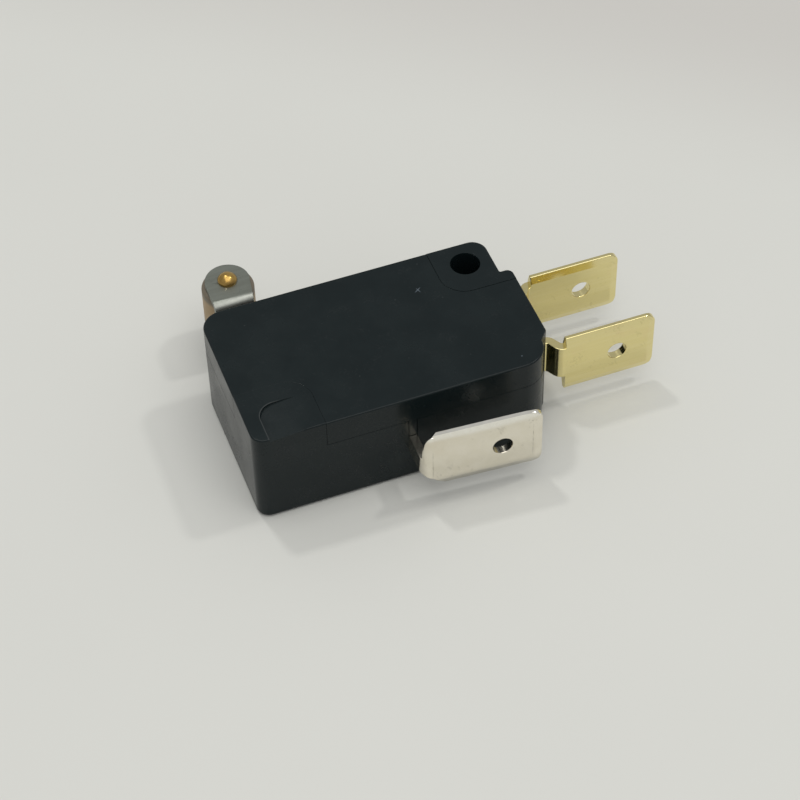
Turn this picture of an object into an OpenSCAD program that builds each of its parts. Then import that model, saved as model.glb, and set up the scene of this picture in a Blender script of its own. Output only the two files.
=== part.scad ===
// Snap-action micro switch with a hinged roller lever.
// The switch lies on its broad face. The origin is on the mounting hole's axis, in the lower face.
// +X points to the end with the contact tabs, +Y to the lever, +Z up through the body's thickness.

/* [Body] */
// Length of the moulded body
body_l = 27.8; // [27.2:0.1:29]
// Width from the common tab's side to the lever's side
body_w = 15.9; // [15.6:0.1:17]
// Thickness over the corner bosses
body_h = 10; // [9.8:0.1:10.8]
// Thickness of the side walls, floor and cover plate
wall = 1.2; // [1:0.05:1.4]
// Thickness of the end wall that grips the contact tabs
end_wall = 2; // [1.6:0.1:2.4]
// Depth of the cover, from its seam to the top of the bosses
cover_h = 2.8; // [2.6:0.05:3]
// How far the cover's plate lies below the bosses
panel_drop = 0.03; // [0:0.01:0.2]
// Radius along the upper rim
rim_r = 0.15; // [0.08:0.01:0.25]
// Radius along the lower rim
foot_r = 0.4; // [0.2:0.05:0.5]

/* [Mounting hole and bosses] */
// Diameter of the mounting hole
hole_d = 2.7; // [2.5:0.1:3]
// From the hole's axis to the end with the contact tabs
hole_from_end = 3.6; // [3.4:0.1:4]
// From the hole's axis to the lever's side
hole_from_side = 2.5; // [2.4:0.05:2.8]
// Length of each corner boss along the body
boss_l = 6.4; // [6:0.1:6.8]
// Width of each corner boss across the body
boss_w = 5.8; // [5.4:0.1:6]
// Radius of the bosses' inner corners
boss_r = 2.3; // [1.5:0.1:2.8]
// Deepest point of the blind ramp in the near boss
ramp_depth = 0.3; // [0.2:0.02:0.6]
// Length over which the ramp runs out
ramp_l = 3.6; // [3:0.1:4.4]

/* [Roller lever] */
// Thickness of the lever's sheet
lever_t = 0.5; // [0.4:0.05:0.6]
// Gap between the lever and the body when released
lever_gap = 2.4; // [2.3:0.05:2.8]
// Diameter of the roller
roller_d = 4.8; // [4.4:0.1:5.2]
// Width of the roller
roller_w = 4.4; // [4:0.1:4.6]
// Roller's axis from the plain end of the body
roller_from_left = 4.3; // [4:0.1:5]
// Diameter of the roller's axle
axle_d = 1.2; // [1:0.1:1.4]
// Width of the lever's arm
arm_w = 2.96; // [2.8:0.02:3.2]
// Diameter of the hinge pin
pin_d = 1; // [0.8:0.1:1.2]
// Hinge pin from the end with the contact tabs
pin_from_end = 3.4; // [3.2:0.1:3.8]

/* [Plunger and snap action] */
// Diameter of the plunger
plunger_d = 2.8; // [2.4:0.1:3]
// Plunger's axis from the end with the contact tabs
plunger_from_end = 18.9; // [18.6:0.1:19.1]
// Travel of the plunger
plunger_travel = 1.5; // [1.2:0.05:1.6]
// Blade's pivot from the lever's side
pivot_from_side = 7.75; // [7.6:0.05:7.9]
// From the blade's pivot to its contact
blade_l = 7.95; // [7.7:0.05:8.1]
// Thickness of the blade
blade_t = 0.3; // [0.2:0.05:0.4]
// Gap that the moving contact crosses
contact_gap = 1.2; // [0.8:0.05:1.4]
// Wire of the snap spring
spring_wire = 0.3; // [0.2:0.02:0.36]
// Turns of the snap spring
spring_turns = 9; // [6:1:12]

/* [Terminals] */
// Width of the push-on tabs
tab_w = 6.35; // [6:0.05:6.6]
// Thickness of the terminals' sheet
tab_t = 0.8; // [0.7:0.05:0.85]
// Length of the push-on tabs, from shoulder to tip
tab_l = 8.6; // [8:0.1:9.5]
// Diameter of the tabs' detent holes
tab_hole_d = 1.8; // [1.4:0.1:2]
// From the tip to the centre of the detent hole
tab_hole_from_tip = 3.65; // [3:0.05:4]
// Width of the contact terminals' necks
neck_w = 3.6; // [3.2:0.05:3.7]
// From the body's end to the shoulders of the contact tabs
shoulder_out = 1.85; // [1.6:0.05:2.4]
// Middle of the normally-open neck from the common tab's side
no_neck_from_side = 4.6; // [4.4:0.05:4.7]
// Sideways step of the normally-open tab outside the body
no_step = 1.25; // [0.9:0.05:1.4]
// Sideways step of the normally-closed tab outside the body
nc_step = 0.9; // [0.5:0.05:1]
// Middle of the common terminal from the end with the contact tabs
com_from_end = 13.65; // [13.5:0.05:13.8]
// Outer face of the common tab from the body's side, at its bend
com_out = 3.3; // [3:0.05:3.6]
// Angle at which the common tab leans away from the body
com_splay = 3.7; // [0:0.1:5]
// Width of the common terminal's neck
com_neck_w = 1.95; // [1.6:0.05:2.2]

/* [Hidden] */
$fn = 64;
bend_steps = 12;
turn_steps = 16;
// A small overlap where pieces join, and how far a cut reaches past the face that it opens
eps = 0.01;
over = 1;

// Clearances: on pins, sliding, fixed seats, round the bosses, under the cover, beside the lug, at contacts
run_gap = 0.03;
slide_gap = 0.05;
seat_gap = 0.01;
seam_gap = 0.02;
seam_line = 0.05;
side_gap = 0.08;
contact_clear = 0.06;

// The body's faces, from the hole's axis
x_end = hole_from_end;
x_left = x_end - body_l;
y_lever = hole_from_side;
y_com = y_lever - body_w;
z_mid = body_h / 2;
seam_z = body_h - cover_h;
plate_z = body_h - panel_drop;

// The body's outline: round corners, the step beside the hole's boss and the heel by the common tab
far_r = 2;
near_r = 1.15;
hole_corner_r = 1.4;
step_depth = 1.1;
step_drop = 4.5;
step_r = 0.6;
heel = 0.8;
heel_from_side = 3.35;
heel_slant = 0.9;
heel_r = 2.4;
rim_steps = 3;
boss_end = x_end - step_depth;
step_y = y_lever - step_drop;
heel_end = x_end - heel;

// The hole's column and the posts that take the cover's pegs
column_wall = 0.9;
column_r = hole_d / 2 + column_wall;
post_r = 1.5;
post_in = 1;
peg_r = 0.6;
peg_l = 2.3;
peg_room = 0.2;
far_post = [x_left + wall + post_in, y_lever - wall - post_in];
near_post = [x_end - end_wall - post_in, y_com + wall + post_in];

// The blind ramp in the near boss
ramp_left = 1.4;
ramp_r = 1.5;
ramp_far = 3.9;

// The lever's places
pin_rise = 1.2;
pin_head_out = 0.35;
pin_r = pin_d / 2;
pin_at = [x_end - pin_from_end, y_lever + pin_rise];
pin_head_r = pin_r + pin_head_out;
pin_head_h = 0.3;
hinge_r = 1.05;
lug_root = 0.4;
lug_w = arm_w - 2 * lever_t - 2 * side_gap;
lever_y = y_lever + lever_gap;
roller_gap = 0.1;
roller_round = 0.3;
roller_at = [x_left + roller_from_left, lever_y + lever_t + roller_gap + roller_d / 2];
fork_w = roller_w + 2 * roller_gap + 2 * lever_t;
ear_r = 2.05;
ear_foot = 1.55;
hinge_bend_r = 0.15;
fork_bend_r = 0.4;
axle_r = axle_d / 2;
axle_head_out = 0.28;
axle_head_r = axle_r + axle_head_out;
axle_head_h = 0.75;
axle_dome = 0.55;

// The plunger's places
plunger_x = x_end - plunger_from_end;
plunger_r = plunger_d / 2;
plunger_tip = lever_y - run_gap;
plunger_dome = 0.35;
flange_out = 0.8;
flange_r = plunger_r + flange_out;
flange_h = 0.9;
flange_top = y_lever - wall - slide_gap;

// The snap action: the blade rocks by the same angle either side of straight
pivot_depth = 0.1;
notch_depth = 0.35;
com_x = x_end - com_from_end;
post_face = com_x + tab_t / 2;
pivot = [post_face - pivot_depth, y_lever - pivot_from_side];
blade_tilt = asin(contact_gap / 2 / blade_l);
head_r = 1.2;
head_h = 0.7;
head_dome = 0.15;
fixed_head_r = 1.3;
fixed_head_h = 0.5;
shank_r = 0.55;
tail_h = 0.2;
tail_out = 0.3;
tail_r = shank_r + tail_out;
plate_back = 0.4;
contact_x = pivot.x + blade_l * cos(blade_tilt);
contact_reach = contact_gap / 2 + blade_t / 2 + head_h + contact_clear;
nc_face = pivot.y + contact_reach;
no_face = pivot.y - contact_reach;
hook_out = 5.6;
spring_r = 0.85;
spring_lift = 0.45;
spring_room = 1.25;
hook_gap = 0.15;
hook_hole_r = spring_wire / 2 + hook_gap;
spring_y = pivot.y + plunger_travel / 2 + spring_lift;
foot_gap = 0.1;
foot_top = spring_y - spring_wire / 2 - foot_gap;
foot_h = 0.8;
foot_half = 1.2;
foot_open = 0.4;
hook_drop = 1.05;
hook_run = 1.5;
leg_gap = 0.1;
leg_in = spring_room + leg_gap;
leg_out = 2.3;
tip_edge = 0.15;
tip_half = head_r + tip_edge;

// The terminals' places
neck_top = seam_z - slide_gap;
neck_low = neck_top - neck_w;
nc_y = nc_face + fixed_head_h + tab_t / 2;
no_inner_y = no_face - fixed_head_h - tab_t / 2;
no_y = y_com + no_neck_from_side;
shoulder_x = x_end + shoulder_out;
com_face = y_com - com_out;
com_corner = [com_x, com_face + tab_t / 2];
com_along = [cos(com_splay), -sin(com_splay)];
neck_in = 0.3;
step_from = 0.76;
step_to = 0.38;
sheet_bend_r = 0.25;
com_bend_r = 0.2;
com_shoulder = 1.91;
com_root = 1.3;
com_neck_drop = 1.7;
com_neck_low = z_mid - com_neck_drop;
com_neck_top = com_neck_low + com_neck_w;
com_crown = z_mid + tab_w / 2 + slide_gap;
sole_drop = 0.5;
com_sole = com_neck_low - sole_drop;
com_hub = com_corner + [1, 1] * (com_bend_r + tab_t / 2);
trim_turn = 50;
trim_from = -0.8;
trim_run = 0.95;
trim_slope = [0.6, 1];
tongue_half = tab_t / 2 - slide_gap;
post_edge = 0.2;
post_low = z_mid - leg_out - post_edge;
fork_l = 1.05;
post_top = pivot.y + fork_l;
tab_bevel = 0.7;
tab_bevel_depth = 0.22;
tab_corner_r = 0.95;

// Sheet metal: a centreline with rounded bends, thickened to both sides
function heading(a, b) = (b - a) / norm(b - a);
function left_of(d) = [-d.y, d.x];
function turned(v, a) = [v.x * cos(a) - v.y * sin(a), v.x * sin(a) + v.y * cos(a)];
function bend(p, q, s, r) =
    let (u = heading(q, p), v = heading(q, s))
    norm(u + v) < eps ? [q] :
    let (
        half = acos(u * v) / 2,
        hub = q + heading(-u, v) * r / sin(half),
        first = q + u * r / tan(half) - hub,
        way = cross(-u, v) > 0 ? 1 : -1,
        sweep = way * (180 - 2 * half)
    )
    [for (k = [0:bend_steps]) hub + turned(first, sweep * k / bend_steps)];
function centreline(p, r) =
    [p[0], for (i = [1:len(p) - 2]) each bend(p[i - 1], p[i], p[i + 1], r), p[len(p) - 1]];
function shifted(c, d) =
    let (last = len(c) - 1)
    [for (i = [0:last]) c[i] + left_of(heading(c[max(i - 1, 0)], c[min(i + 1, last)])) * d];
function backwards(c) = [for (i = [len(c) - 1:-1:0]) c[i]];

module strip(points, t, inner_r) {
    line = centreline(points, inner_r + t / 2);
    polygon(concat(shifted(line, t / 2), backwards(shifted(line, -t / 2))));
}

// Removes a square corner at p outside a quarter round; d points from the corner into the shape
module corner_cut(p, d, r)
    difference() {
        translate([min(p.x - d.x * eps, p.x + d.x * r), min(p.y - d.y * eps, p.y + d.y * r)])
            square(r + eps);
        translate(p + d * r) circle(r);
    }

// A box between two opposite corners
module block(a, b) translate(a) cube(b - a);

// A round bar from one point along Y
module bar_y(p, r, l) translate(p) rotate([-90, 0, 0]) cylinder(r = r, h = l);

// The body seen from above
module outline()
    difference() {
        translate([x_left, y_com]) square([body_l, body_w]);
        translate([boss_end, step_y]) square([step_depth + over, step_drop + over]);
        polygon([
            [x_end + over, y_com - over],
            [x_end + over, y_com + heel_from_side],
            [x_end, y_com + heel_from_side],
            [heel_end, y_com + heel_from_side - heel_slant],
            [heel_end, y_com - over]
        ]);
        corner_cut([x_left, y_com], [1, 1], near_r);
        corner_cut([x_left, y_lever], [1, -1], far_r);
        corner_cut([boss_end, y_lever], [-1, -1], hole_corner_r);
        corner_cut([x_end, step_y], [-1, -1], step_r);
        corner_cut([heel_end, y_com], [-1, 1], heel_r);
    }

// Section of what a rim of radius r takes off; the rim's top is at x = r and its side at y = -r
module rim_section(r)
    polygon([
        for (k = [0:rim_steps]) r * [1 - sin(90 * k / rim_steps), cos(90 * k / rim_steps) - 1],
        [-r, -r],
        [-r, r],
        [r, r]
    ]);

// Rounds the rim along a straight edge from a to b, with the body on its left
module edge_round(a, b, r)
    translate(a)
    rotate(atan2(b.y - a.y, b.x - a.x))
    rotate([90, 0, 90])
    linear_extrude(norm(b - a))
    rim_section(r);

// Rounds the rim round a corner of radius corner_r, from one angle through a quarter turn
module corner_round(hub, corner_r, from, r)
    translate(hub)
    rotate(from)
    rotate_extrude(angle = 90)
    translate([corner_r, 0])
    mirror([1, 0])
    rim_section(r);

// What comes off all round the body for an upper rim of radius r at height z
module rim_cut(z, r)
    translate([0, 0, z]) {
        edge_round([x_left + near_r, y_com], [heel_end - heel_r, y_com], r);
        corner_round([heel_end - heel_r, y_com + heel_r], heel_r, -90, r);
        edge_round([heel_end, y_com + heel_from_side - heel_slant], [x_end, y_com + heel_from_side], r);
        edge_round([x_end, y_com + heel_from_side], [x_end, step_y - step_r], r);
        corner_round([x_end - step_r, step_y - step_r], step_r, 0, r);
        edge_round([x_end - step_r, step_y], [boss_end, step_y], r);
        edge_round([boss_end, step_y], [boss_end, y_lever - hole_corner_r], r);
        corner_round([boss_end - hole_corner_r, y_lever - hole_corner_r], hole_corner_r, 0, r);
        edge_round([boss_end - hole_corner_r, y_lever], [x_left + far_r, y_lever], r);
        corner_round([x_left + far_r, y_lever - far_r], far_r, 90, r);
        edge_round([x_left, y_lever - far_r], [x_left, y_com + near_r], r);
        corner_round([x_left + near_r, y_com + near_r], near_r, 180, r);
    }

// The two corner bosses seen from above, grown by d on their inner sides
module boss_areas(d = 0) {
    difference() {
        translate([x_end - boss_l - d, y_lever - boss_w - d]) square([boss_l + d + over, boss_w + d + over]);
        corner_cut([x_end - boss_l - d, y_lever - boss_w - d], [1, 1], boss_r + d);
    }
    difference() {
        translate([x_left - over, y_com - over]) square([boss_l + d + over, boss_w + d + over]);
        corner_cut([x_left + boss_l + d, y_com + boss_w + d], [-1, -1], boss_r + d);
    }
}

// The room for the mechanism seen from above
module cavity_area() {
    difference() {
        translate([x_left + wall, y_com + wall]) square([body_l - wall - end_wall, body_w - 2 * wall]);
        circle(column_r);
        translate([-column_r, 0]) square([x_end + column_r, y_lever]);
        translate([0, -column_r]) square([x_end, y_lever]);
        translate([x_left, y_com]) square([boss_l, boss_w]);
        for (p = [far_post, near_post])
            translate(p) circle(post_r);
        translate([x_left, far_post.y]) square([far_post.x - x_left, post_r]);
        translate([near_post.x, y_com]) square([end_wall + post_in, near_post.y - y_com]);
    }
}

// The far boss keeps its hole, the near one has the blind ramp
module ramp() {
    left = x_left + ramp_left;
    right = left + ramp_l;
    intersection() {
        linear_extrude(body_h + over)
            difference() {
                translate([left, y_com - over]) square([right - left, ramp_far + over]);
                corner_cut([left, y_com + ramp_far], [1, -1], ramp_r);
            }
        translate([0, y_com + ramp_far + over, 0])
            rotate([90, 0, 0])
            linear_extrude(ramp_far + 3 * over)
            polygon([[left - over, body_h - ramp_depth], [left, body_h - ramp_depth], [right, body_h],
                     [right, body_h + over], [left - over, body_h + over]]);
    }
}

module case()
    color([0.08, 0.09, 0.1])
    difference() {
        union() {
            linear_extrude(seam_z) outline();
            intersection() {
                linear_extrude(body_h) outline();
                translate([0, 0, seam_z - eps]) linear_extrude(cover_h + over) boss_areas();
            }
            translate([0, 0, z_mid - lug_w / 2])
                linear_extrude(lug_w) {
                    translate(pin_at) circle(hinge_r);
                    translate([pin_at.x - hinge_r, y_lever - lug_root])
                        square([2 * hinge_r, pin_rise + lug_root]);
                }
        }
        translate([0, 0, wall]) linear_extrude(seam_z - wall + eps) cavity_area();
        translate([0, 0, -over]) cylinder(d = hole_d, h = body_h + 2 * over);
        translate([pin_at.x, pin_at.y, 0]) cylinder(r = pin_r + seat_gap, h = body_h);
        bar_y([plunger_x, y_lever - wall - over, z_mid], plunger_r + slide_gap, wall + 2 * over);
        for (p = [far_post, near_post])
            translate([p.x, p.y, seam_z - peg_l - peg_room])
                cylinder(r = peg_r + seat_gap, h = peg_l + over);
        block([x_end - end_wall - over, no_y - tab_t / 2 - seat_gap, neck_low - seat_gap],
              [x_end + over, no_y + tab_t / 2 + seat_gap, seam_z + eps]);
        block([x_end - end_wall - over, nc_y - tab_t / 2 - seat_gap, neck_low - seat_gap],
              [x_end + over, nc_y + tab_t / 2 + seat_gap, seam_z]);
        block([com_x - tab_t / 2 - seat_gap, y_com - over, com_neck_low - seat_gap],
              [com_x + tab_t / 2 + seat_gap, y_com + wall + over, seam_z + eps]);
        rim_cut(body_h, rim_r);
        mirror([0, 0, 1]) rim_cut(0, foot_r);
        ramp();
    }

// A lid with two pegs and a tongue that fills the slot over the common terminal's neck
module cover()
    color([0.09, 0.1, 0.11]) {
        difference() {
            translate([0, 0, seam_z + seam_line]) linear_extrude(plate_z - seam_z - seam_line) outline();
            rim_cut(plate_z, rim_r);
            translate([0, 0, seam_z - over]) linear_extrude(cover_h + 2 * over) boss_areas(seam_gap);
            translate([0, 0, seam_z - eps]) linear_extrude(plate_z - wall - seam_z + eps) cavity_area();
        }
        for (p = [far_post, near_post])
            translate([p.x, p.y, seam_z - peg_l]) cylinder(r = peg_r, h = peg_l + seam_line + eps);
        block([com_x - tongue_half, y_com + seam_gap, com_neck_top + slide_gap],
              [com_x + tongue_half, y_com + wall - seam_gap, seam_z + seam_line + eps]);
    }

// A domed button through the case wall, a flange that keeps it in, and a foot that hooks the spring
module plunger()
    color([0.75, 0.12, 0.1]) {
        stem_l = plunger_tip - plunger_dome - flange_top;
        difference() {
            union() {
                bar_y([plunger_x, flange_top - flange_h, z_mid], flange_r, flange_h);
                bar_y([plunger_x, flange_top - eps, z_mid], plunger_r, stem_l + eps);
                translate([plunger_x, plunger_tip, z_mid])
                    rotate([90, 0, 0])
                    rotate_extrude()
                    dome_section(plunger_r, plunger_dome);
                block([plunger_x - foot_half, foot_top - foot_h, z_mid - foot_half],
                      [plunger_x - foot_open, flange_top - flange_h + eps, z_mid + foot_half]);
                block([plunger_x - foot_half, foot_top - foot_h, z_mid - foot_half],
                      [plunger_x + foot_half, foot_top, z_mid + foot_half]);
            }
            bar_y([plunger_x, foot_top - foot_h - over, z_mid], hook_hole_r, foot_h + 2 * over);
        }
    }

// Half section of a shallow dome of radius r and rise h; its top is at the origin, its foot at y = h
module dome_section(r, h) {
    ball = (r * r + h * h) / (2 * h);
    intersection() {
        translate([0, ball]) circle(ball, $fn = 128);
        square([r, h]);
    }
}

// A bent strip: a fork for the roller, a flat arm and two ears on the hinge pin
module roller_lever()
    color([0.62, 0.64, 0.62])
    difference() {
        union() {
            translate([0, 0, z_mid - arm_w / 2])
                linear_extrude(arm_w)
                translate([roller_at.x + ear_foot - over, lever_y])
                square([pin_at.x - roller_at.x - ear_foot + over - hinge_r / 2, lever_t]);
            intersection() {
                channel(fork_w, roller_at.y + ear_r + over, roller_at.x, ear_r + over, fork_bend_r);
                linear_extrude(body_h) {
                    translate(roller_at) circle(ear_r);
                    polygon([
                        [roller_at.x - ear_r, lever_y],
                        [roller_at.x + ear_foot, lever_y],
                        [roller_at.x + ear_r, roller_at.y],
                        [roller_at.x - ear_r, roller_at.y]
                    ]);
                }
            }
            intersection() {
                channel(arm_w, pin_at.y - hinge_r - over, pin_at.x, hinge_r + over, hinge_bend_r);
                linear_extrude(body_h) {
                    translate(pin_at) circle(hinge_r);
                    translate([pin_at.x - hinge_r, pin_at.y])
                        square([2 * hinge_r, lever_y + lever_t - pin_at.y]);
                }
            }
        }
        translate([roller_at.x, roller_at.y, 0]) cylinder(r = axle_r + seat_gap, h = body_h);
        translate([pin_at.x, pin_at.y, 0]) cylinder(r = pin_r + run_gap, h = body_h);
    }

// A U of sheet across Z, to either side of x: its web lies in the lever's arm and its legs reach to y
module channel(w, y, x, half, bend_r) {
    leg = w / 2 - lever_t / 2;
    web = lever_y + lever_t / 2;
    translate([x - half, 0, z_mid])
        rotate([90, 0, 90])
        linear_extrude(2 * half)
        strip([[y, -leg], [web, -leg], [web, leg], [y, leg]], lever_t, bend_r);
}

module hinge_pin()
    color([0.7, 0.7, 0.72])
    translate([pin_at.x, pin_at.y, z_mid]) {
        half = arm_w / 2 + slide_gap;
        cylinder(r = pin_r, h = 2 * half + 2 * eps, center = true);
        for (s = [0, 1])
            mirror([0, 0, s])
            translate([0, 0, half])
            cylinder(r1 = pin_head_r, r2 = pin_r, h = pin_head_h);
    }

module roller()
    color([0.62, 0.5, 0.38])
    translate([roller_at.x, roller_at.y, z_mid])
    rotate_extrude()
    difference() {
        translate([axle_r + slide_gap, -roller_w / 2])
            square([roller_d / 2 - axle_r - slide_gap, roller_w]);
        for (s = [-1, 1])
            corner_cut([roller_d / 2, s * roller_w / 2], [-1, -s], roller_round);
    }

module roller_axle()
    color([0.78, 0.58, 0.22])
    translate([roller_at.x, roller_at.y, z_mid]) {
        cylinder(r = axle_r, h = fork_w + 2 * eps, center = true);
        for (s = [0, 1])
            mirror([0, 0, s])
            translate([0, 0, fork_w / 2])
            rotate_extrude() {
                square([axle_head_r, axle_head_h - axle_dome]);
                translate([0, axle_head_h]) mirror([0, 1]) dome_section(axle_head_r, axle_dome);
            }
    }

// A push-on tab along X, bevelled along its edges and tip; it starts at from and its length counts from 0
module tab(from = 0) {
    w = tab_w / 2;
    t = tab_t / 2;
    thin = t - tab_bevel_depth;
    flat = w - tab_bevel;
    intersection() {
        translate([from, 0, 0])
            rotate([90, 0, 90])
            linear_extrude(tab_l - from)
            polygon([[-t, -flat], [-thin, -w], [thin, -w], [t, -flat],
                     [t, flat], [thin, w], [-thin, w], [-t, flat]]);
        linear_extrude(2 * tab_w, center = true)
            polygon([[from - over, -t], [tab_l - tab_bevel, -t], [tab_l, -thin],
                     [tab_l, thin], [tab_l - tab_bevel, t], [from - over, t]]);
        rotate([90, 0, 0])
            linear_extrude(2 * tab_t, center = true)
            difference() {
                translate([from, -w]) square([tab_l - from, tab_w]);
                for (s = [-1, 1])
                    corner_cut([tab_l, s * w], [-1, -s], tab_corner_r);
                translate([tab_l - tab_hole_from_tip, 0]) circle(d = tab_hole_d);
            }
    }
}

// What is kept of the common terminal's strip, seen towards the middle of its bend
module trim_shape()
    polygon(concat(
        [[-tab_l, com_sole - 2 * trim_slope.y], [trim_from, com_sole] - 2 * trim_slope, [trim_from, com_sole],
         [trim_from + trim_run, com_neck_low], [tab_l, com_neck_low], [tab_l, com_neck_top]],
        [for (k = [0:bend_steps])
            let (a = 90 * k / bend_steps)
            [trim_from + trim_run * cos(a), com_neck_top + (com_crown - com_neck_top) * sin(a)]],
        [[trim_from, com_crown + over], [-tab_l, com_crown + over]]
    ));

// The common terminal: its tab bends into the body and stands up inside as a forked post.
// The tab's root goes on round the bend, trimmed to a rounded shoulder that ends at the narrow neck.
module com_terminal()
    color([0.83, 0.81, 0.76]) {
        shoulder = com_corner + com_along * com_shoulder;
        root = com_corner + com_along * (com_shoulder - com_root + eps);
        intersection() {
            union() {
                translate([shoulder.x, shoulder.y, z_mid]) rotate(-com_splay) tab(-com_root);
                translate([0, 0, z_mid - tab_w / 2])
                    linear_extrude(tab_w)
                    strip([root, com_corner, [com_x, y_com + wall + neck_in]], tab_t, com_bend_r);
            }
            translate(com_hub)
                rotate(180 - trim_turn)
                rotate([90, 0, 0])
                linear_extrude(3 * tab_l, center = true)
                trim_shape();
        }
        difference() {
            block([com_x - tab_t / 2, y_com + wall + slide_gap, post_low], [post_face, post_top, neck_top]);
            block([com_x - tab_t, pivot.y - spring_room, z_mid - spring_room],
                  [post_face + over, post_top + over, z_mid + spring_room]);
            translate([post_face - notch_depth, pivot.y, 0]) rotate(-45) cube([over, over, body_h]);
        }
    }

// A contact terminal: an inner plate at y_in, a neck through the end wall at y_neck, a step out to the tab
module contact_terminal(y_in, y_neck, y_tab)
    color([0.8, 0.7, 0.42]) {
        difference() {
            translate([0, 0, neck_low])
                linear_extrude(neck_w)
                strip([[contact_x - fixed_head_r - plate_back, y_in], [contact_x + fixed_head_r, y_in],
                       [x_end - end_wall - neck_in, y_neck], [x_end + step_from, y_neck],
                       [shoulder_x - step_to, y_tab], [shoulder_x + over, y_tab]], tab_t, sheet_bend_r);
            bar_y([contact_x, y_in - tab_t, z_mid], shank_r + seat_gap, 2 * tab_t);
        }
        translate([shoulder_x, y_tab, z_mid]) tab();
    }

module no_terminal() contact_terminal(no_inner_y, no_y, no_y - no_step);

module nc_terminal() contact_terminal(nc_y, nc_y, nc_y + nc_step);

// A contact rivet through a terminal's plate; its face is at height y and its shank points up or down
module fixed_contact(y, up)
    color([0.85, 0.85, 0.83])
    translate([contact_x, y, z_mid])
    rotate([up ? -90 : 90, 0, 0]) {
        cylinder(r = fixed_head_r, h = fixed_head_h);
        cylinder(r = shank_r, h = fixed_head_h + tab_t + tail_h);
        translate([0, 0, fixed_head_h + tab_t]) cylinder(r = tail_r, h = tail_h);
    }

module no_contact() fixed_contact(no_face, false);

module nc_contact() fixed_contact(nc_face, true);

// Places what is drawn along X from the blade's pivot
module on_blade() translate([pivot.x, pivot.y, z_mid]) rotate(blade_tilt) children();

// A thin sprung arm: two legs rock in the post's grooves, the spring lies between them
module contact_blade()
    color([0.72, 0.5, 0.3])
    on_blade()
    rotate([90, 0, 0])
    linear_extrude(blade_t, center = true)
    difference() {
        polygon([
            [0, -leg_out], [hook_out, -leg_out],
            [blade_l - head_r, -tip_half], [blade_l + head_r, -tip_half],
            [blade_l + head_r, tip_half], [blade_l - head_r, tip_half],
            [hook_out, leg_out], [0, leg_out]
        ]);
        translate([-over, -leg_in]) square([hook_out, 2 * leg_in]);
        translate([hook_out, 0]) circle(hook_hole_r);
        translate([blade_l, 0]) circle(shank_r + seat_gap);
    }

// A contact rivet with a domed head on each side of the blade
module moving_contact()
    color([0.85, 0.85, 0.83])
    on_blade()
    translate([blade_l, 0, 0])
    rotate([90, 0, 0]) {
        cylinder(r = shank_r, h = blade_t + 2 * eps, center = true);
        for (s = [0, 1])
            mirror([0, 0, s])
            translate([0, 0, blade_t / 2])
            rotate_extrude() {
                square([head_r, head_h - head_dome]);
                translate([0, head_h]) mirror([0, 1]) dome_section(head_r, head_dome);
            }
    }

// The spring's wire: a hook down at each end, and between them a coil that opens out from the axis
function flat_to_space(p) = [for (q = p) [q.x, q.y, z_mid]];
function coil_radius(k, n) = spring_r * min(1, 2 * spring_turns * k / n, 2 * spring_turns * (n - k) / n);
function coil(a, b, n) =
    let (along = heading(a, b), up = left_of(along))
    [for (k = [1:n - 1])
        let (
            hub = a + (b - a) * k / n,
            r = coil_radius(k, n),
            turn = 360 * spring_turns * k / n,
            side = up * r * cos(turn)
        )
        [hub.x + side.x, hub.y + side.y, z_mid + r * sin(turn)]];
function spring_line() =
    let (
        a = [plunger_x, spring_y],
        b = pivot + turned([hook_out, spring_lift], blade_tilt),
        along = heading(a, b),
        a_coil = a + along * hook_run,
        b_coil = b - along * hook_run,
        hook_a = centreline([a - [0, hook_drop], a, a_coil], spring_wire),
        hook_b = centreline([b_coil, b, b - left_of(along) * hook_drop], spring_wire)
    )
    concat(flat_to_space(hook_a), coil(a_coil, b_coil, turn_steps * spring_turns), flat_to_space(hook_b));

// A round wire along a line of points; its cross-section is carried along without twisting
function run(p, i) = heading(p[max(i - 1, 0)], p[min(i + 1, len(p) - 1)]);
function square_to(n, t) = let (m = n - t * (n * t)) m / norm(m);
module wire(p, r, sides = 6) {
    last = len(p) - 1;
    normals = [
        for (i = 0, n = [0, 0, 1]; i <= last; n = square_to(n, run(p, min(i + 1, last))), i = i + 1) n
    ];
    points = [
        for (i = [0:last], k = [0:sides - 1])
            let (a = 360 * k / sides, n = normals[i])
            p[i] + r * (cos(a) * n + sin(a) * cross(run(p, i), n))
    ];
    faces = [
        [for (k = [0:sides - 1]) k],
        [for (k = [sides - 1:-1:0]) last * sides + k],
        for (i = [0:last - 1], k = [0:sides - 1])
            let (a = i * sides + k, b = i * sides + (k + 1) % sides)
            each [[a, a + sides, b], [b, a + sides, b + sides]]
    ];
    polyhedron(points, faces);
}

module snap_spring() color([0.6, 0.6, 0.62]) wire(spring_line(), spring_wire / 2);

case();
cover();
plunger();
roller_lever();
hinge_pin();
roller();
roller_axle();
com_terminal();
no_terminal();
nc_terminal();
no_contact();
nc_contact();
contact_blade();
moving_contact();
snap_spring();
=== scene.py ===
"""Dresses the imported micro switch: broken edges, materials, a pale table, soft light and the camera."""

import math

import bmesh
import bpy
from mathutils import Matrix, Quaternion, Vector


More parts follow.
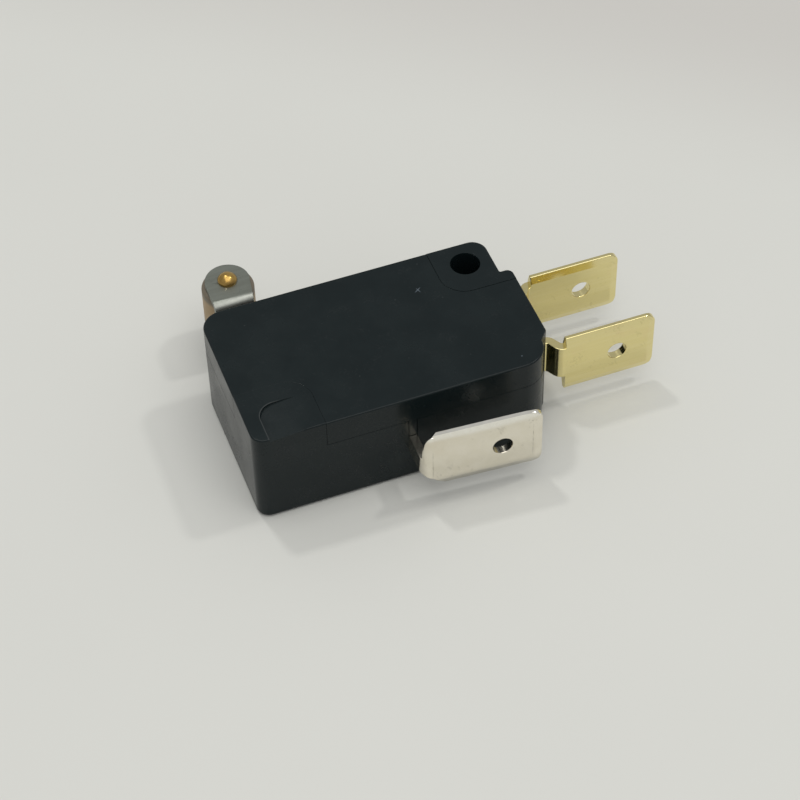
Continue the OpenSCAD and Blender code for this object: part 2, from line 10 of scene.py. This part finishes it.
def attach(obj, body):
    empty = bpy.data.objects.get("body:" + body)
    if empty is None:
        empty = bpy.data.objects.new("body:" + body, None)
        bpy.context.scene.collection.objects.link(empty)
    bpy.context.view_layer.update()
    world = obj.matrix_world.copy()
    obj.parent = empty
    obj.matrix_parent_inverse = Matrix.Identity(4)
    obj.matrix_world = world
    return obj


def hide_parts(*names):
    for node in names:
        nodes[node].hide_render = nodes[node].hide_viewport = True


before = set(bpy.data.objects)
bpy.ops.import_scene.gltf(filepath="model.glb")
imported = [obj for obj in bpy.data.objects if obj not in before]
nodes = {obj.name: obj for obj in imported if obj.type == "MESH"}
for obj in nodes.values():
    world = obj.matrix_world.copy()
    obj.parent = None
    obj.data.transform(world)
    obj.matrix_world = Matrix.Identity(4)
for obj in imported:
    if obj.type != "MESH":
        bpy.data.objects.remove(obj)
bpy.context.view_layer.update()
scene = bpy.context.scene


# The case is a deep tray of black glass-filled nylon with two full-height corner bosses.
# It comes out of a polished tool, glossy enough to mirror the table at a slant, and
# handling has left dust, faint hairlines and a few pale marks on it.
def room_beside(edge, sharp):
    """How far an edge can be rounded off before the rounding runs over an edge beside it."""
    # Cosines under which a neighbour is the same edge carried on
    straight_on = -0.9998
    bent_on = -0.8
    reach = [math.inf]
    for corner in edge.verts:
        along = (edge.other_vert(corner).co - corner.co).normalized()
        for other in corner.link_edges:
            side = other.other_vert(corner).co - corner.co
            carried_on = side.normalized().dot(along) < (bent_on if other in sharp else straight_on)
            share = 0.5 if other in sharp else 1
            if other is not edge and not carried_on:
                reach.append(side.cross(along).length * share)
    return min(reach)


def broken_edges(node, body, width, crease):
    """A joined-up copy of a CAD node with its sharp edges rounded; bends under the crease are smooth."""
    join = 4e-6
    flat = math.radians(0.3)
    corner = math.radians(40)
    form = bmesh.new()
    form.from_mesh(nodes[node].data)
    bmesh.ops.remove_doubles(form, verts=form.verts, dist=join)
    bmesh.ops.dissolve_limit(form, angle_limit=flat, verts=form.verts, edges=form.edges)
    sharp = {edge for edge in form.edges if edge.calc_face_angle(0) > corner}
    tight = sharp
    while tight:
        tight = {edge for edge in sharp if room_beside(edge, sharp) < width}
        sharp = sharp - tight
    rounded = [edge for edge in form.edges if edge in sharp]
    bmesh.ops.bevel(
        form,
        geom=rounded,
        offset=width,
        offset_type="OFFSET",
        affect="EDGES",
        segments=2,
        profile=0.5,
        material=-1,
    )
    for face in form.faces:
        face.smooth = True
    for edge in form.edges:
        edge.smooth = edge.calc_face_angle(0) < math.radians(crease)
    mesh = bpy.data.meshes.new(node + "_finish")
    form.to_mesh(mesh)
    form.free()
    piece = bpy.data.objects.new(node + "_finish", mesh)
    scene.collection.objects.link(piece)
    shading = piece.modifiers.new("flat_faces", "WEIGHTED_NORMAL")
    shading.keep_sharp = True
    shading.weight = 100
    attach(piece, body)
    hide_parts(node)
    return piece


def dress(piece, material):
    """Gives a piece its material."""
    piece.data.materials.clear()
    piece.data.materials.append(material)


def place(tree, kind, values=None, **settings):
    """Adds a node; a value is a number, a colour or the socket that feeds it."""
    made = tree.nodes.new(kind)
    for name, value in settings.items():
        setattr(made, name, value)
    for name, value in (values or {}).items():
        if isinstance(value, bpy.types.NodeSocket):
            tree.links.new(value, made.inputs[name])
        else:
            made.inputs[name].default_value = value
    return made


def math_of(tree, operation, *values):
    """A Math node's result."""
    return place(tree, "ShaderNodeMath", dict(enumerate(values)), operation=operation).outputs["Value"]


def vector_of(tree, operation, *values):
    """A Vector Math node's results, a Vector and a Value."""
    return place(tree, "ShaderNodeVectorMath", dict(enumerate(values)), operation=operation).outputs


def noise(tree, where, scale, detail=3, roughness=0.6):
    """A noise pattern's value."""
    values = {"Vector": where, "Scale": scale, "Detail": detail, "Roughness": roughness}
    return place(tree, "ShaderNodeTexNoise", values).outputs["Fac"]


def ramp(tree, value, low, high, start=0, end=1):
    """Goes smoothly from start to end as a value goes from low to high."""
    values = {"Value": value, "From Min": low, "From Max": high, "To Min": start, "To Max": end}
    return place(tree, "ShaderNodeMapRange", values, interpolation_type="SMOOTHSTEP").outputs["Result"]


def tint(tree, mask, below, above):
    """Mixes two colours by a mask; either may be a colour or a socket."""
    made = place(tree, "ShaderNodeMix", {"Factor": mask}, data_type="RGBA")
    for socket, colour in ((made.inputs[6], below), (made.inputs[7], above)):
        if isinstance(colour, bpy.types.NodeSocket):
            tree.links.new(colour, socket)
        else:
            socket.default_value = (*colour, 1)
    return made.outputs[2]


def finish(name):
    """A new material; returns it with its tree, its Principled shader and its Object coordinates."""
    material = bpy.data.materials.new(name)
    material.use_nodes = True
    tree = material.node_tree
    shader = tree.nodes["Principled BSDF"]
    return material, tree, shader, place(tree, "ShaderNodeTexCoord").outputs["Object"]


def wear(tree, shader, colour, roughness, height, depth):
    """Feeds a shader its varying colour, roughness and bump."""
    tree.links.new(colour, shader.inputs["Base Color"])
    tree.links.new(roughness, shader.inputs["Roughness"])
    bump = place(tree, "ShaderNodeBump", {"Height": height, "Strength": 1, "Distance": depth})
    tree.links.new(bump.outputs["Normal"], shader.inputs["Normal"])


def effect(name, inputs):
    """A node group from a Vector and some numbers to a Mask; returns it, what it is given and its Mask."""
    group = bpy.data.node_groups.new(name, "ShaderNodeTree")
    group.interface.new_socket("Vector", in_out="INPUT", socket_type="NodeSocketVector")
    for socket in inputs:
        group.interface.new_socket(socket, in_out="INPUT", socket_type="NodeSocketFloat")
    group.interface.new_socket("Mask", in_out="OUTPUT", socket_type="NodeSocketFloat")
    given = group.nodes.new("NodeGroupInput").outputs
    return group, given, group.nodes.new("NodeGroupOutput").inputs["Mask"]


def use(tree, group, where, **values):
    """The mask of an effect."""
    values = {"Vector": where, **{name.replace("_", " "): value for name, value in values.items()}}
    return place(tree, "ShaderNodeGroup", values, node_tree=group).outputs["Mask"]


def mark(tree, where, spot, size, turn):
    """A soft oval mark at one spot, its size given to either side along the turned axes."""
    edge = 1
    core = 0.4
    values = {"Vector": where, "Location": spot, "Rotation": (0, 0, turn), "Scale": size}
    local = place(tree, "ShaderNodeMapping", values, vector_type="TEXTURE").outputs["Vector"]
    return ramp(tree, vector_of(tree, "LENGTH", local)["Value"], low=edge, high=core)


# Hairline scratches in two directions, broken into short runs: how each is turned and shifted
HAIR_STRETCH = (180, 6000, 6000)
HAIR_RUNS = (((0.3, 0.5, 0.9), 0), ((0.3, -0.9, -0.5), 3.7))
hairlines, given, put = effect("hairlines", ["Amount"])
runs = []
for turn, shift in HAIR_RUNS:
    lie = {"Vector": given["Vector"], "Rotation": turn}
    turned = place(hairlines, "ShaderNodeMapping", lie).outputs["Vector"]
    stretch = {"Vector": turned, "Scale": HAIR_STRETCH, "Location": (shift, shift, shift)}
    drawn = place(hairlines, "ShaderNodeMapping", stretch).outputs["Vector"]
    line = noise(hairlines, drawn, scale=1, detail=1)
    patch = noise(hairlines, turned, scale=500, detail=1)
    runs.append(ramp(hairlines, math_of(hairlines, "ADD", line, patch), low=1.24, high=1.36))
either = math_of(hairlines, "MAXIMUM", *runs)
hairlines.links.new(math_of(hairlines, "MULTIPLY", either, given["Amount"]), put)

# Loose specks of dust, small and large: cells to the metre, and a speck's size in its cell
SPECKS = ((1500, 0.12), (560, 0.045))
SPECK_CORE = 0.4
dust, given, put = effect("dust", ["Amount"])
sorts = []
for scale, size in SPECKS:
    cell = place(dust, "ShaderNodeTexVoronoi", {"Vector": given["Vector"], "Scale": scale})
    pick = place(dust, "ShaderNodeSeparateColor", {"Color": cell.outputs["Color"]})
    few = ramp(dust, pick.outputs["Red"], low=0.93, high=0.96)
    near = ramp(dust, cell.outputs["Distance"], low=size, high=size * SPECK_CORE)
    sorts.append(math_of(dust, "MULTIPLY", few, near))
either = math_of(dust, "MAXIMUM", *sorts)
dust.links.new(math_of(dust, "MULTIPLY", either, given["Amount"]), put)

# The moulded skin, with a crossed scratch and a nick on its upper face
BLACK_DARK = (0.0058, 0.0106, 0.0118)
BLACK_LIGHT = (0.0072, 0.0126, 0.0138)
HAIR_GREY = (0.02, 0.024, 0.025)
DUST_GREY = (0.09, 0.1, 0.1)
SCRATCH_GREY = (0.13, 0.16, 0.19)
SCRATCH_SHARE = 0.6
GRAIN_SHARE = 0.06
SCRATCHES = (
    ((-0.0051, -0.0015, 0.01), (0.0005, 0.00007, 0.0005), 0.6),
    ((-0.00505, -0.00155, 0.01), (0.0004, 0.00006, 0.0005), 1.9),
    ((0.00045, -0.0122, 0.01), (0.0001, 0.00008, 0.0003), 0.2),
)
black, tree, shader, where = finish("black_moulding")
shader.inputs["Specular IOR Level"].default_value = 0.2
cloud = noise(tree, where, scale=210, detail=5, roughness=0.65)
wave = noise(tree, where, scale=330, detail=1)
grain = noise(tree, where, scale=6500)
skin = tint(tree, ramp(tree, cloud, low=0.35, high=0.7), BLACK_DARK, BLACK_LIGHT)
haired = tint(tree, use(tree, hairlines, where, Amount=0.3), skin, HAIR_GREY)
dusted = tint(tree, use(tree, dust, where, Amount=0.3), haired, DUST_GREY)
one, two, nick = (mark(tree, where, *scratch) for scratch in SCRATCHES)
pale = math_of(tree, "MAXIMUM", math_of(tree, "MAXIMUM", one, two), nick)
marked = tint(tree, math_of(tree, "MULTIPLY", pale, SCRATCH_SHARE), dusted, SCRATCH_GREY)

# The upper rim of the blind ramp carries a painted highlight, round its bend and along both arms
BEND = (-0.0213, -0.011, 0.01)
BEND_R = 0.0015
RIM_OFFSET = 0.00003
RIM_HIGHLIGHT_GREY = (0.04, 0.045, 0.046)
inside = vector_of(tree, "SUBTRACT", where, BEND)["Vector"]
outwards = vector_of(tree, "MULTIPLY", inside, (-1, 1, 0))["Vector"]
beyond = vector_of(tree, "MAXIMUM", outwards, (0, 0, 0))["Vector"]
reach = vector_of(tree, "LENGTH", beyond)["Value"]
from_rim = math_of(tree, "ABSOLUTE", math_of(tree, "SUBTRACT", reach, BEND_R + RIM_OFFSET))
line = ramp(tree, from_rim, low=0.00007, high=0.00003)
axes = place(tree, "ShaderNodeSeparateXYZ", {"Vector": inside}).outputs
on_top = ramp(tree, axes["Z"], low=-0.00008, high=-0.00003)
run_out = ramp(tree, axes["X"], low=0.001, high=0)
rim_highlight = math_of(tree, "MULTIPLY", math_of(tree, "MULTIPLY", line, on_top), run_out)
uneven = math_of(tree, "MULTIPLY", rim_highlight, ramp(tree, cloud, low=0.3, high=0.5, start=0.4, end=1))
rim_highlighted = tint(tree, uneven, marked, RIM_HIGHLIGHT_GREY)

gloss = ramp(tree, cloud, low=0.3, high=0.7, start=0.21, end=0.29)
height = math_of(tree, "MULTIPLY_ADD", grain, GRAIN_SHARE, wave)
wear(tree, shader, rim_highlighted, gloss, height, depth=0.00004)
dress(broken_edges("case", "body", width=0.00002, crease=40), black)


# The contact terminals are stamped from bright half-hard brass strip. Each is pressed into
# a slot in the end wall, steps sideways outside it and ends in a push-on tab with coined
# edges; a contact rivet of fine silver is headed over in its inner end.
rolled, given, put = effect("rolled_sheet", ["Along X", "Along Y", "Along Z"])
stretch = place(rolled, "ShaderNodeCombineXYZ", {axis: given["Along " + axis] for axis in "XYZ"})
drawn = vector_of(rolled, "MULTIPLY", given["Vector"], stretch.outputs["Vector"])["Vector"]
rolled.links.new(noise(rolled, drawn, scale=1, detail=4, roughness=0.6), put)

LENGTHWISE = {"Along_X": 120, "Along_Y": 3000, "Along_Z": 3000}
ALL_WAYS = {"Along_X": 900, "Along_Y": 900, "Along_Z": 900}


def sheet_metal(name, dark, light, stain, smooth, rough, grain, scratches):
    """A rolled metal finish: two tones along the rolling lines, scratches and a soft stain."""
    shade = 0.6
    scored = tuple(shade * part for part in dark)
    made, tree, shader, where = finish(name)
    shader.inputs["Metallic"].default_value = 1
    lines = use(tree, rolled, where, **grain)
    cloud = noise(tree, where, scale=330, detail=5)
    scratch = use(tree, hairlines, where, Amount=scratches)
    tone = tint(tree, ramp(tree, lines, low=0.3, high=0.7), dark, light)
    stained = tint(tree, ramp(tree, cloud, low=0.5, high=0.8), tone, stain)
    colour = tint(tree, scratch, stained, scored)
    gloss = ramp(tree, lines, low=0.25, high=0.75, start=smooth, end=rough)
    wear(tree, shader, colour, gloss, math_of(tree, "SUBTRACT", lines, scratch), depth=0.0000015)
    return made


brass = sheet_metal(
    "bright_brass",
    dark=(0.81, 0.71, 0.34),
    light=(0.84, 0.74, 0.38),
    stain=(0.82, 0.67, 0.36),
    smooth=0.12,
    rough=0.18,
    grain=LENGTHWISE,
    scratches=0.25,
)
for terminal in ("no_terminal", "nc_terminal"):
    dress(broken_edges(terminal, "body", width=0.00005, crease=12), brass)

silver = sheet_metal(
    "contact_silver",
    dark=(0.68, 0.68, 0.66),
    light=(0.84, 0.84, 0.82),
    stain=(0.5, 0.48, 0.44),
    smooth=0.2,
    rough=0.36,
    grain=ALL_WAYS,
    scratches=0.3,
)
for contact in ("no_contact", "nc_contact"):
    dress(nodes[contact], silver)


# The common terminal is stamped brass with silver-white plating. Its tab is bent along the
# side of the body; painted shade draws dark lines at the bend and the bevelled tip, beside a few
# dark specks, and a painted highlight lies on the upper edge and painted shade on the lower one.
def lay_light_and_marks(material, colour, faint, full, spots):
    """Lays a colour over a finished metal at a few soft marks, uneven between faint and full: painted
    highlights, painted shade and dark specks.
    """
    tree = material.node_tree
    skin = tree.nodes["Principled BSDF"].inputs["Base Color"]
    where = place(tree, "ShaderNodeTexCoord").outputs["Object"]
    speckle = noise(tree, where, scale=2600, detail=5)
    uneven = ramp(tree, speckle, low=0.38, high=0.66, start=faint, end=full)
    for spot, size, turn in spots:
        mask = math_of(tree, "MULTIPLY", mark(tree, where, spot, size, turn), uneven)
        tree.links.new(tint(tree, mask, skin.links[0].from_socket, colour), skin)


TAB_SPLAY = -0.0645
# Two long lines of painted shade at the bend and the bevelled tip, and two small dark specks
CREASE_SHADE_AND_SPECKS = [
    ((-0.0005, -0.0173, 0.0052), (0.00006, 0.0005, 0.0029), TAB_SPLAY),
    ((-0.0095, -0.0167, 0.0047), (0.00007, 0.0005, 0.0022), TAB_SPLAY),
    ((-0.0078, -0.0168, 0.0027), (0.00011, 0.0005, 0.0001), 0),
    ((-0.0006, -0.0173, 0.0074), (0.00012, 0.0005, 0.00012), 0),
]
# A painted highlight along the upper edge
UPPER_EDGE_HIGHLIGHT = [((-0.005, -0.017, 0.0082), (0.012, 0.0012, 0.0008), TAB_SPLAY)]
# Painted shade along the lower edge
LOWER_EDGE_SHADE = [((-0.005, -0.017, 0.0016), (0.012, 0.0016, 0.0015), TAB_SPLAY)]
plating = sheet_metal(
    "silver_plating",
    dark=(0.8, 0.752, 0.634),
    light=(0.85, 0.802, 0.694),
    stain=(0.78, 0.72, 0.59),
    smooth=0.14,
    rough=0.26,
    grain=ALL_WAYS,
    scratches=0.35,
)
lay_light_and_marks(plating, colour=(0.36, 0.33, 0.27), faint=0.1, full=0.6, spots=CREASE_SHADE_AND_SPECKS)
lay_light_and_marks(plating, colour=(0.97, 0.95, 0.88), faint=0.8, full=1, spots=UPPER_EDGE_HIGHLIGHT)
lay_light_and_marks(plating, colour=(0.57, 0.55, 0.49), faint=0.8, full=1, spots=LOWER_EDGE_SHADE)
dress(broken_edges("com_terminal", "body", width=0.00006, crease=12), plating)


# Inside, a thin blade of rolled bronze rocks on the common terminal's post and carries a
# double contact rivet; a coil of drawn steel wire pulls it over when the plunger moves.
UPRIGHT = {"Along_X": 3000, "Along_Y": 3000, "Along_Z": 90}
bronze = sheet_metal(
    "rolled_bronze",
    dark=(0.45, 0.24, 0.1),
    light=(0.6, 0.36, 0.18),
    stain=(0.36, 0.2, 0.1),
    smooth=0.28,
    rough=0.42,
    grain=LENGTHWISE,
    scratches=0.4,
)
dress(nodes["contact_blade"], bronze)
dress(nodes["moving_contact"], silver)
wire_steel = sheet_metal(
    "wire_steel",
    dark=(0.42, 0.42, 0.43),
    light=(0.55, 0.55, 0.56),
    stain=(0.35, 0.34, 0.33),
    smooth=0.25,
    rough=0.4,
    grain=UPRIGHT,
    scratches=0.3,
)
dress(nodes["snap_spring"], wire_steel)


# The plunger is a moulded button of red acetal that slides in the case wall. Its dome rubs
# on the lever, so the skin is a little uneven in gloss.
RED_DARK = (0.33, 0.022, 0.016)
RED_LIGHT = (0.42, 0.035, 0.024)
RED_DUST = (0.5, 0.25, 0.22)
red, tree, shader, where = finish("red_acetal")
cloud = noise(tree, where, scale=700, detail=4)
skin = tint(tree, cloud, RED_DARK, RED_LIGHT)
dusted = tint(tree, use(tree, dust, where, Amount=0.6), skin, RED_DUST)
gloss = ramp(tree, cloud, low=0, high=1, start=0.28, end=0.46)
wear(tree, shader, dusted, gloss, cloud, depth=0.000008)
dress(nodes["plunger"], red)


# The cover is a flat lid of the same nylon that drops between the two bosses and is welded
# on two pegs; its lower edge leaves a fine seam round the body.
dress(broken_edges("cover", "body", width=0.00002, crease=40), black)


# The lever is stamped and bent from stainless strip, with a fork for the roller and two
# ears on the hinge pin. Its faces keep the strip's rolling lines under a dull grey skin,
# with a painted highlight along the fork's bend; the pin is drawn steel wire, headed at both ends.
FORK_BEND_HIGHLIGHT = [((-0.0199, 0.0051, 0.0077), (0.006, 0.0008, 0.0008), 0)]
lever_steel = sheet_metal(
    "lever_steel",
    dark=(0.185, 0.197, 0.172),
    light=(0.205, 0.22, 0.195),
    stain=(0.17, 0.178, 0.155),
    smooth=0.4,
    rough=0.48,
    grain=LENGTHWISE,
    scratches=0.3,
)
lay_light_and_marks(lever_steel, colour=(0.36, 0.37, 0.34), faint=0.8, full=1, spots=FORK_BEND_HIGHLIGHT)
dress(broken_edges("roller_lever", "lever", width=0.00005, crease=30), lever_steel)
dress(nodes["hinge_pin"], wire_steel)


# The roller is turned from tan laminated plastic and runs on a brass rivet, whose ends are
# spun over into domes on the fork's ears. The roller's rims under the ears are darkened with painted
# shade.
TAN_DARK = (0.32, 0.21, 0.1)
TAN_LIGHT = (0.46, 0.34, 0.19)
TAN_DUST = (0.6, 0.52, 0.42)
EAR_SHADE_GREY = (0.1, 0.095, 0.08)
ROLLER_MIDDLE = 0.005
tan, tree, shader, where = finish("tan_roller")
rings = use(tree, rolled, where, Along_X=60, Along_Y=60, Along_Z=2600)
skin = tint(tree, rings, TAN_DARK, TAN_LIGHT)
dusted = tint(tree, use(tree, dust, where, Amount=0.5), skin, TAN_DUST)
up = place(tree, "ShaderNodeSeparateXYZ", {"Vector": where}).outputs["Z"]
from_middle = math_of(tree, "ABSOLUTE", math_of(tree, "SUBTRACT", up, ROLLER_MIDDLE))
rim_shade = ramp(tree, from_middle, low=0.0012, high=0.0018, start=0, end=0.8)
painted_shade_tone = tint(tree, rim_shade, dusted, EAR_SHADE_GREY)
gloss = ramp(tree, rings, low=0, high=1, start=0.35, end=0.6)
wear(tree, shader, painted_shade_tone, gloss, rings, depth=0.00001)
dress(nodes["roller"], tan)

rivet_brass = sheet_metal(
    "rivet_brass",
    dark=(0.44, 0.28, 0.075),
    light=(0.58, 0.39, 0.13),
    stain=(0.3, 0.17, 0.05),
    smooth=0.2,
    rough=0.36,
    grain=ALL_WAYS,
    scratches=0.4,
)
dress(nodes["roller_axle"], rivet_brass)


# The switch lies on a pale painted table top. A broad ceiling panel and the even room light
# it; two small lamps, to the right and behind, cast its faint shadows to the left and front.
TABLE_REACH = 2
TABLE_GAP = 0.00002
PAINT_DARK = (0.63, 0.635, 0.604)
PAINT_LIGHT = (0.67, 0.675, 0.644)
PAINT_FAR_SHADE = (0.57, 0.56, 0.535)
AWAY = (0.6, 0.8, 0)
form = bmesh.new()
bmesh.ops.create_grid(form, x_segments=1, y_segments=1, size=TABLE_REACH)
bmesh.ops.translate(form, verts=form.verts, vec=(0, 0, -TABLE_GAP))
table_mesh = bpy.data.meshes.new("table_top")
form.to_mesh(table_mesh)
form.free()
table_top = bpy.data.objects.new("table_top", table_mesh)
scene.collection.objects.link(table_top)
paint, tree, shader, where = finish("pale_paint")
cloud = noise(tree, where, scale=14, detail=4)
shade = tint(tree, cloud, PAINT_DARK, PAINT_LIGHT)
# The table is greyed towards the back right with painted shade
far_shade = ramp(tree, vector_of(tree, "DOT_PRODUCT", where, AWAY)["Value"], low=0.026, high=0.054)
painted_shade_tone = tint(tree, far_shade, shade, PAINT_FAR_SHADE)
gloss = ramp(tree, cloud, low=0, high=1, start=0.5, end=0.6)
wear(tree, shader, painted_shade_tone, gloss, cloud, depth=0.00001)
table_mesh.materials.append(paint)

ROOM_GREY = (0.44, 0.44, 0.44, 1)
room = bpy.data.worlds.new("even_room")
scene.world = room
room.use_nodes = True
room.node_tree.nodes["Background"].inputs["Color"].default_value = ROOM_GREY


def lamp(name, spot, size, power):
    """A square light that faces the switch."""
    light = bpy.data.lights.new(name, "AREA")
    light.shape = "SQUARE"
    light.size = size
    light.energy = power
    light.color = (1, 0.99, 0.96)
    holder = bpy.data.objects.new(name, light)
    scene.collection.objects.link(holder)
    holder.location = spot
    holder.rotation_euler = Vector(spot).to_track_quat("Z", "Y").to_euler()


lamp("ceiling_panel", spot=(0, -0.2, 0.82), size=0.8, power=3.3)
lamp("right_lamp", spot=(0.42, 0, 0.68), size=0.06, power=0.75)
lamp("back_lamp", spot=(-0.1, 0.34, 0.72), size=0.06, power=0.85)

# A long lens looks down on the switch from its near left
AIM = Vector((-0.00895, -0.00702, 0.00272))
DISTANCE = 0.2129
turn, tilt, roll = (math.radians(angle) for angle in (-19.26, 48.15, -1.56))
back = Vector((math.sin(turn) * math.cos(tilt), -math.cos(turn) * math.cos(tilt), math.sin(tilt)))
camera = bpy.data.objects.new("camera", bpy.data.cameras.new("camera"))
scene.collection.objects.link(camera)
camera.data.sensor_width = 36
camera.data.lens = 108
camera.data.clip_start = 0.01
camera.location = AIM + back * DISTANCE
camera.rotation_euler = (back.to_track_quat("Z", "Y") @ Quaternion((0, 0, 1), roll)).to_euler()
scene.camera = camera
scene.view_settings.view_transform = "Standard"
